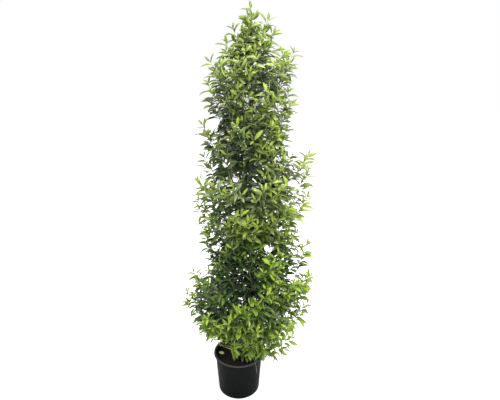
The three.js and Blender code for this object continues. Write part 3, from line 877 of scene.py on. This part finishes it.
def kept_in_crown(leaves):
    """Shortens leaves that reach out of the crown, and drops those that are still out of place."""
    tip = blade_vertices(leaves)[:, -1]
    r, azimuth = about_stem(tip)
    root_r = about_stem(leaves["root"])[0]
    room = np.maximum(surface(tip[:, 2], azimuth) + SURFACE_ROOM, leaves["limit"])
    share = np.clip((room - root_r) / np.maximum(r - root_r, 0.001), 0, 1)
    leaves["length"] = leaves["length"] * share
    leaves["width"] = leaves["width"] * np.sqrt(share)
    points = blade_vertices(leaves)
    low = np.array(CAD_LOW) - BOX_ROOM
    high = np.array(CAD_HIGH) + BOX_ROOM
    keep = share > SHORTEST_LEAF
    for k in TESTED_POINTS:
        p = points[:, k]
        within = inside_crown(p) | (about_stem(p)[0] < leaves["limit"] + LIMIT_ROOM)
        keep &= within & clear_of_pot(p) & (p > low).all(axis=1) & (p < high).all(axis=1)
        keep &= ~over_bare_soil(p) & ~in_gap(p)
    return chosen(leaves, keep)


# ---- Materials ----


def feed(tree, node, **inputs):
    """The node's inputs, named with _ for spaces, each take a value or another node's socket."""
    for name, value in inputs.items():
        socket = node.inputs[name.replace("_", " ")]
        if isinstance(value, bpy.types.NodeSocket):
            tree.links.new(value, socket)
        else:
            socket.default_value = value
    return node


def new_node(tree, kind, **inputs):
    return feed(tree, tree.nodes.new(f"ShaderNode{kind}"), **inputs)


def principled(name, color, roughness, specular=0.5):
    material = bpy.data.materials.new(name)
    material.use_nodes = True
    tree = material.node_tree
    shader = tree.nodes["Principled BSDF"]
    feed(tree, shader, Base_Color=(*color, 1), Roughness=roughness, Specular_IOR_Level=specular)
    return material, tree, shader


def add_noise(tree, scale, detail=3.0, stretch=None):
    where = new_node(tree, "TexCoord").outputs["Object"]
    if stretch:
        where = new_node(tree, "Mapping", Vector=where, Scale=stretch).outputs["Vector"]
    return new_node(tree, "TexNoise", Vector=where, Scale=scale, Detail=detail).outputs["Fac"]


def add_bump(tree, shader, height, strength, distance):
    bump = new_node(tree, "Bump", Strength=strength, Distance=distance, Height=height)
    feed(tree, shader, Normal=bump.outputs["Normal"])


def add_gloss(tree, shader, value, low, high):
    """Spreads the shader's roughness from low to high by a noise value."""
    spread = new_node(tree, "MapRange", Value=value, From_Min=0.3, From_Max=0.7, To_Min=low, To_Max=high)
    feed(tree, shader, Roughness=spread.outputs["Result"])


def add_ramp(tree, value, stops):
    """A colour ramp with two stops."""
    ramp = new_node(tree, "ValToRGB", Fac=value)
    for element, (place, color) in zip(ramp.color_ramp.elements, stops):
        element.position = place
        element.color = (*color, 1)
    return ramp.outputs["Color"]


def leaf_material(name, color, roughness, specular=0.5):
    """One plain colour, its gloss broken by fine veins."""
    material, tree, shader = principled(name, color, roughness, specular)
    veins = add_noise(tree, 900, 2.0)
    add_gloss(tree, shader, veins, roughness - 0.07, roughness + 0.09)
    add_bump(tree, shader, veins, 0.25, 0.0004)
    return material


def bark_material(name, dark, pale):
    material, tree, shader = principled(name, pale, 0.8, specular=0.3)
    furrows = add_noise(tree, 60, 5.0, (1, 1, 0.16))
    feed(tree, shader, Base_Color=add_ramp(tree, furrows, [(0.3, dark), (0.72, pale)]))
    add_bump(tree, shader, add_noise(tree, 420, 4.0), 0.5, 0.0006)
    return material


def pot_material():
    """Black moulded plastic: satin, faintly dusty, with a painted highlight along the rim's edge."""
    black, dusty, painted_rim_highlight = (0.0034, 0.0044, 0.0046), (0.0058, 0.0066, 0.0066), (0.085, 0.088, 0.088)
    material, tree, shader = principled("pot_plastic", black, 0.46, specular=0.015)
    body = add_ramp(tree, add_noise(tree, 9, 4.0), [(0.35, black), (0.75, dusty)])
    place = new_node(tree, "SeparateXYZ", Vector=new_node(tree, "TexCoord").outputs["Object"])
    # Painted highlight: the rim's top edge is paler, where it catches the light.
    edge = {"From_Min": POT_HEIGHT - 0.004, "From_Max": POT_HEIGHT - 0.0005}
    height = new_node(tree, "MapRange", Value=place.outputs["Z"], **edge)
    mix = new_node(tree, "Mix")
    mix.data_type = "RGBA"
    feed(tree, mix, Factor=height.outputs["Result"], A=body, B=(*painted_rim_highlight, 1))
    feed(tree, shader, Base_Color=mix.outputs["Result"])
    add_gloss(tree, shader, add_noise(tree, 34, 5.0), 0.38, 0.56)
    add_bump(tree, shader, add_noise(tree, 1500, 2.0), 0.12, 0.0003)
    return material


def soil_material():
    material, tree, shader = principled("damp_compost", (0.03, 0.022, 0.016), 0.9, specular=0.25)
    stops = [(0.3, (0.006, 0.004, 0.003)), (0.7, (0.035, 0.025, 0.018))]
    feed(tree, shader, Base_Color=add_ramp(tree, add_noise(tree, 240, 6.0), stops))
    add_bump(tree, shader, add_noise(tree, 500, 5.0), 0.9, 0.002)
    return material


def floor_material():
    material, tree, shader = principled("studio_floor", (0.95, 0.95, 0.95), 0.9, specular=0.0)
    feed(tree, shader, Emission_Color=(1, 1, 1, 1), Emission_Strength=0.45)
    add_gloss(tree, shader, add_noise(tree, 2.0), 0.86, 0.94)
    return material


# ---- Foliage ----

BOUGH_NODES = [f"bough_{i + 1:02d}" for i in range(BOUGH_COUNT)]
FOLIAGE_NODES = [f"foliage_{i + 1:02d}" for i in range(BOUGH_COUNT)] + ["leader_foliage"]

BARK = bark_material("stem_bark", (0.045, 0.036, 0.028), (0.17, 0.145, 0.11))
TWIG_BARK = bark_material("twig_bark", (0.05, 0.042, 0.028), (0.13, 0.12, 0.07))
GREEN_SHOOT = leaf_material("green_shoot", (0.16, 0.22, 0.05), 0.5)

# Leaf colours at these shares of the way from the darkest leaf to the lightest: from old leaves and painted
# shade to fresh young ones and painted light. The leaves low on the plant are a purer green than those at
# its top.
COLOR_SHARES = (0, 0.3, 0.6, 0.85, 1)
LOW_COLORS = np.array([
    (0.011, 0.034, 0.006),
    (0.081, 0.157, 0.012),
    (0.244, 0.358, 0.025),
    (0.318, 0.441, 0.031),
    (0.366, 0.485, 0.042),
])
# Painted sheen: the greyer, bluer colours high up stand for the sky's gloss on the upper leaves.
HIGH_COLORS = np.array([
    (0.032, 0.052, 0.026),
    (0.119, 0.176, 0.044),
    (0.242, 0.326, 0.041),
    (0.284, 0.368, 0.045),
    (0.318, 0.394, 0.051),
])
COLOR_HEIGHT = 1.25  # where one set of colours gives way to the other
COLOR_OVERLAP = 0.35
LEAF_ROUGHNESS = (0.34, 0.44)  # of the darkest and the freshest leaves
SHADES = 12
DARK_SHADES = 4
UNDERSIDE = np.array([0.03, 0.035, 0.02])  # added to the dulled colour of the leaves' undersides

# What makes up a leaf's shade, as a share of the way from dark to fresh, painted light and shade among it.
INNER_SHADE = 0.13
OUTER_SHADE = 0.29  # more at the crown's surface: fresher leaves there, and painted shade deeper inside the crown
OUTER_DEPTH = 0.17
TINT_SHADE = 0.36  # more for each unit of tint above the middle
MIDDLE_TINT = 0.4
HOLLOW_PAINTED_SHADE = 4.0  # less, per metre of its hollow's depth: painted shade in the hollows, which also hold darker old leaves
RIGHT_PAINTED_LIGHT = 0.17  # more on the plant's right: painted light from the right
FOOT_PAINTED_SHADE = 0.14  # less at the compost's height: painted shade low under the crown
FOOT_HEIGHT = 0.08
CREST_YOUTH_AND_LIGHT = 0.24  # more at the plant's top, where the shades also draw together: younger leaves there, and painted light from above
CREST_MIDDLE = 0.385
CREST_EVENNESS = 0.75
CREST_LOW = 1.85
CREST_HEIGHT = 0.55
SHADE_SPREAD = 0.045


def leaf_color(colors, share):
    return tuple(np.interp(share, COLOR_SHARES, channel) for channel in colors.T)


def leaf_shades(leaves, random):
    """Deals each leaf its shade: fresher near the crown's surface, high up, and at a fresh spray's tips,
    with painted light at the top and on the right and painted shade inside, in hollows and low down.
    """
    root = leaves["root"]
    r, azimuth = about_stem(root)
    full = FINE_REACH * reach(root[:, 2], azimuth)
    # Darker deeper in the crown: older leaves there, and painted shade.
    out = np.clip(1 - (full - r) / OUTER_DEPTH, 0, 1)
    young = np.clip(1 - leaves["age"] * 1.5, 0, 1) * np.exp(-leaves["depth"] / 0.09)
    # Lighter at the top: younger leaves, and painted light from above.
    crest = np.clip((root[:, 2] - CREST_LOW) / CREST_HEIGHT, 0, 1) ** 1.5
    share = INNER_SHADE + OUTER_SHADE * out + TINT_SHADE * (leaves["tint"] - MIDDLE_TINT) * out
    # Painted shade: leaves in the hollows are darkened by the hollow's depth.
    share += CREST_YOUTH_AND_LIGHT * crest - HOLLOW_PAINTED_SHADE * hollowed(root[:, 2], azimuth, full)
    # Painted light: leaves on the plant's right are lighter.
    share += RIGHT_PAINTED_LIGHT * np.maximum(np.cos(azimuth), 0) * out
    # Painted shade: leaves just above the compost are darker.
    share -= FOOT_PAINTED_SHADE * np.exp(-(root[:, 2] - SOIL_TOP) / FOOT_HEIGHT)
    share += young * (0.20 + 0.22 * leaves["tint"]) * (1 - 0.6 * crest)
    # Painted light at the top: the shades there draw together, the inner leaves as light as the outer ones.
    share = lerp(share, CREST_MIDDLE, CREST_EVENNESS * crest)
    share += SHADE_SPREAD * random.standard_normal(len(r))
    return np.clip(share * SHADES, 0, SHADES - 1).astype(int)


def grow_shoots(twigs):
    """The shoots of the whole crown, each from a nearby twig."""
    shares = np.linspace(0.15, 1, 12)
    carriers = [np.concatenate([along_line(line, shares)[0] for line in lines]) for lines in twigs]
    shoots = [leader_shoot(), *leading_shoots(np.concatenate(carriers))]
    leading = np.concatenate([shoot["line"][3:] for shoot in shoots])
    for owner, near in enumerate(carriers):
        shoots += mass_shoots(owner, near, leading)
    return shoots


def make_wood(twigs, shoots):
    """The two joined pieces of twigs, mass stems among them, and of shoots."""
    tubes = []
    for lines in twigs:
        for n, line in enumerate(lines):
            centres = along_line(line, np.linspace(0, 1, 5 if n else 8))[0]
            thick = TWIG_RADIUS if n else MASS_STEM_RADIUS
            tubes.append(tube(centres, lerp(thick, TWIG_TIP_RADIUS, np.linspace(0, 1, len(centres))), 6))
    dress(join_tubes("twigs", tubes), "bark", [TWIG_BARK], *FOLIAGE_NODES)
    radii = lerp(SHOOT_RADIUS, SHOOT_TIP_RADIUS, np.linspace(0, 1, SHOOT_STATIONS))
    tubes = [tube(shoot["line"], radii, 5) for shoot in shoots]
    dress(join_tubes("shoots", tubes), "foliage", [GREEN_SHOOT], *FOLIAGE_NODES)


def make_leaves(name, leaves, shades, colors, first, last):
    """One joined piece of the leaves in shades from first up to last, with duller undersides."""
    mine = (shades >= first) & (shades < last)
    count = int(mine.sum())
    one = np.concatenate([UPPER_FACES, LOWER_FACES])
    faces = (one[None] + (np.arange(count) * BLADE_POINTS)[:, None, None]).reshape(-1, 3)
    vertices = blade_vertices(chosen(leaves, mine)).reshape(-1, 3)
    obj = mesh_object(name, vertices.tolist(), faces.tolist())
    slots = np.full((count, len(one)), last - first)
    slots[:, : len(UPPER_FACES)] = shades[mine][:, None] - first
    obj.data.polygons.foreach_set("material_index", slots.reshape(-1).astype(np.int32))
    materials = []
    for k in range(first, last):
        color = leaf_color(colors, k / (SHADES - 1))
        materials.append(leaf_material(f"{name}_{k + 1:02d}", color, lerp(*LEAF_ROUGHNESS, k / SHADES)))
    under = np.array(leaf_color(colors, lerp(first, last, 0.4) / SHADES)) * 0.8 + UNDERSIDE
    materials.append(leaf_material(f"{name}_underside", tuple(under), 0.6))
    dress(obj, "foliage", materials, *FOLIAGE_NODES)


def grow_foliage():
    random = np.random.default_rng(SHOOT_SEED)
    twigs = [mass_twigs(owner) for owner in range(len(MASSES))]
    shoots = grow_shoots(twigs)
    make_wood(twigs, shoots)
    rows = leaf_table(shoots, [line for lines in twigs for line in lines], random)
    leaves = kept_in_crown(grown_leaves(rows, random))
    shades = leaf_shades(leaves, random)
    high = leaves["root"][:, 2] + COLOR_OVERLAP * (random.random(len(shades)) - 0.5) > COLOR_HEIGHT
    for level, colors, here in (("low", LOW_COLORS, ~high), ("high", HIGH_COLORS, high)):
        part = chosen(leaves, here)
        # The darker pieces hold the old leaves and those in painted shade, the lighter ones the young
        # leaves and those in painted light.
        make_leaves(f"old_leaves_{level}", part, shades[here], colors, 0, DARK_SHADES)
        make_leaves(f"young_leaves_{level}", part, shades[here], colors, DARK_SHADES, SHADES)


# ---- Pot, compost and the fallen leaf ----


def lathe(profile, sides):
    """A closed surface of revolution about Z; the profile starts and ends on the axis."""
    angles = np.arange(sides) / sides * 2 * math.pi
    ring = np.stack([np.cos(angles), np.sin(angles)], axis=1)
    inner = profile[1:-1]
    vertices = [(0, 0, profile[0][1])]
    for r, z in inner:
        vertices += [(r * x, r * y, z) for x, y in ring]
    vertices.append((0, 0, profile[-1][1]))
    faces = []
    last = len(vertices) - 1
    top = last - sides
    for k in range(sides):
        n = (k + 1) % sides
        faces += [(0, 1 + n, 1 + k), (last, top + k, top + n)]
        faces += [(a + k, a + n, a + sides + n, a + sides + k) for a in range(1, top, sides)]
    return vertices, faces


def arc(cx, cz, radius, start, stop, steps):
    """Points of a profile's rounded corner, angles in degrees."""
    angles = np.radians(np.linspace(start, stop, steps))
    return [(cx + radius * math.cos(a), cz + radius * math.sin(a)) for a in angles]


def make_pot():
    rim_foot = POT_HEIGHT - RIM_THICKNESS
    profile = [(0, 0), (POT_FOOT_RADIUS - 0.012, 0)]
    profile += arc(POT_FOOT_RADIUS - 0.006, 0.006, 0.006, -90, 0, 6)
    profile += [(POT_NECK_RADIUS - 0.0004, rim_foot - 0.004)]
    profile += [(POT_NECK_RADIUS + 0.001, rim_foot)]
    profile += arc(POT_RIM_RADIUS - 0.0025, rim_foot + 0.0025, 0.0025, -90, 0, 5)
    profile += arc(POT_RIM_RADIUS - 0.003, POT_HEIGHT - 0.003, 0.003, 0, 90, 5)
    profile += [(POT_NECK_RADIUS - 0.001, POT_HEIGHT)]
    profile += [(POT_NECK_RADIUS - POT_WALL, rim_foot)]
    profile += [(POT_FOOT_RADIUS - POT_WALL, POT_WALL + 0.001), (0, POT_WALL + 0.001)]
    obj = mesh_object("pot_shell", *lathe(profile, 144))
    obj.data.set_sharp_from_angle(angle=math.radians(40))
    dress(obj, "pot", [pot_material()], "pot")


SOIL_RADIUS = POT_NECK_RADIUS - POT_WALL - 0.003
SOIL_BOTTOM = 0.2
SOIL_RINGS = 34
SOIL_SIDES = 96
CRUMBS = 900
CRUMB_SIZE = (0.0012, 0.0042)
CRUMB_SEED = 5
OCTAHEDRON = [(0, 2, 4), (2, 1, 4), (1, 3, 4), (3, 0, 4), (2, 0, 5), (1, 2, 5), (3, 1, 5), (0, 3, 5)]


def soil_height(x, y):
    r = math.hypot(x, y)
    heap = 0.006 * min(max((0.155 - r) / 0.05, 0), 1)
    lumps = noise.noise(Vector((x * 38, y * 38, 3))) * 0.0035
    return SOIL_TOP - 0.006 + heap + (lumps + noise.noise(Vector((x * 120, y * 120, 7))) * 0.0018)


def soil_body():
    """A closed body with a rough top, a little narrower at its underside."""
    angles = [k / SOIL_SIDES * 2 * math.pi for k in range(SOIL_SIDES)]
    vertices = [(0, 0, soil_height(0, 0))]
    for i in range(1, SOIL_RINGS + 1):
        r = SOIL_RADIUS * i / SOIL_RINGS
        ring = [(r * math.cos(a), r * math.sin(a)) for a in angles]
        vertices += [(x, y, soil_height(x, y)) for x, y in ring]
    low = len(vertices)
    vertices += [(x * 0.96, y * 0.96, SOIL_BOTTOM) for x, y in ring]
    faces = []
    for k in range(SOIL_SIDES):
        n = (k + 1) % SOIL_SIDES
        faces.append((0, 1 + k, 1 + n))
        faces += [(a + k, a + SOIL_SIDES + k, a + SOIL_SIDES + n, a + n) for a in range(1, low, SOIL_SIDES)]
    faces.append(tuple(range(low + SOIL_SIDES - 1, low - 1, -1)))
    return vertices, faces


def crumb(random):
    """The corners of one crumb of bark: an uneven octahedron, turned at random, on the soil's top."""
    r, a = SOIL_RADIUS * math.sqrt(random.random()) * 0.97, random.random() * 2 * math.pi
    x, y = r * math.cos(a), r * math.sin(a)
    size = random.uniform(*CRUMB_SIZE)
    turn, _ = np.linalg.qr(random.normal(size=(3, 3)))
    stretch = np.array([1.0, random.uniform(0.45, 0.8), random.uniform(0.3, 0.6)]) * size
    corners = np.array([(1, 0, 0), (-1, 0, 0), (0, 1, 0), (0, -1, 0), (0, 0, 1), (0, 0, -1)])
    corners = (corners * stretch) @ turn * (1 + 0.25 * random.random((6, 1)))
    return corners + np.array([x, y, soil_height(x, y) + size * 0.2])


def make_soil():
    random = np.random.default_rng(CRUMB_SEED)
    vertices, faces = soil_body()
    for _ in range(CRUMBS):
        faces += [tuple(len(vertices) + v for v in face) for face in OCTAHEDRON]
        vertices += crumb(random).tolist()
    obj = mesh_object("compost", vertices, faces, smooth=False)
    dress(obj, "soil", [soil_material()], "soil")


def make_fallen_leaf():
    """One yellowing leaf on the compost, at the pot's left."""
    leaf = {
        "root": np.array([[-0.101, 0.002, SOIL_TOP + 0.008]]),
        "along": unit(np.array([[-0.9, 0.35, 0.05]])),
        "face": unit(np.array([[0.05, -0.45, 0.9]])),
        "length": np.array([0.050]),
        "width": np.array([0.026]),
        "arch": np.array([0.25]),
        "fold": np.array([0.15]),
    }
    yellow = leaf_material("leaf_fallen", (0.88, 0.90, 0.46), 0.5)
    vertices = blade_vertices(leaf).reshape(-1, 3)
    obj = mesh_object("fallen_leaf", vertices.tolist(), [*UPPER_FACES.tolist(), *LOWER_FACES.tolist()])
    dress(obj, "foliage", [yellow])


def make_dry_stalk():
    """A thin dead stalk that hangs from the lowest leaves over the pot's rim."""
    line = bezier(*(np.array(p) for p in DRY_STALK), np.linspace(0, 1, 14))
    dry = leaf_material("stalk_dry", (0.24, 0.23, 0.20), 0.6)
    dress(join_tubes("dry_stalk", [tube(line, np.full(len(line), SHOOT_TIP_RADIUS), 6)]), "foliage", [dry])


# ---- Stage ----


def make_stage():
    bpy.ops.mesh.primitive_plane_add(size=60, location=(0, 0, -0.0005))
    floor = bpy.context.object
    floor.name = "studio_floor"
    floor.data.materials.append(floor_material())

    world = bpy.data.worlds.new("studio")
    world.use_nodes = True
    feed(world.node_tree, world.node_tree.nodes["Background"], Color=(1, 1, 1, 1), Strength=1)
    bpy.context.scene.world = world

    def area(name, place, target, size, power):
        light = bpy.data.lights.new(name, "AREA")
        light.shape = "DISK"
        light.size = size
        light.energy = power
        lamp = bpy.data.objects.new(name, light)
        lamp.location = place
        way = Vector(target) - Vector(place)
        lamp.rotation_euler = way.to_track_quat("-Z", "Y").to_euler()
        bpy.context.collection.objects.link(lamp)

    area("overhead", (0.3, -0.7, 5.4), (0.05, 0, 1.3), 3.0, 330)
    area("key", (2.2, -3.4, 4.0), (0.05, 0, 1.3), 2.4, 110)


def make_camera():
    camera = bpy.data.cameras.new("camera")
    camera.sensor_width = 36
    camera.lens = CAMERA_LENS
    holder = bpy.data.objects.new("camera", camera)
    holder.location = CAMERA_PLACE
    holder.rotation_euler = (math.radians(90 - CAMERA_PITCH), 0, 0)
    bpy.context.collection.objects.link(holder)
    bpy.context.scene.camera = holder
    bpy.context.scene.view_settings.view_transform = "Standard"


# ---- Build ----

make_camera()
make_stage()
make_pot()
make_soil()
make_fallen_leaf()
make_dry_stalk()
dress(join_tubes("stem_and_boughs", limb_tubes()), "bark", [BARK], "main_stem", *BOUGH_NODES)
grow_foliage()
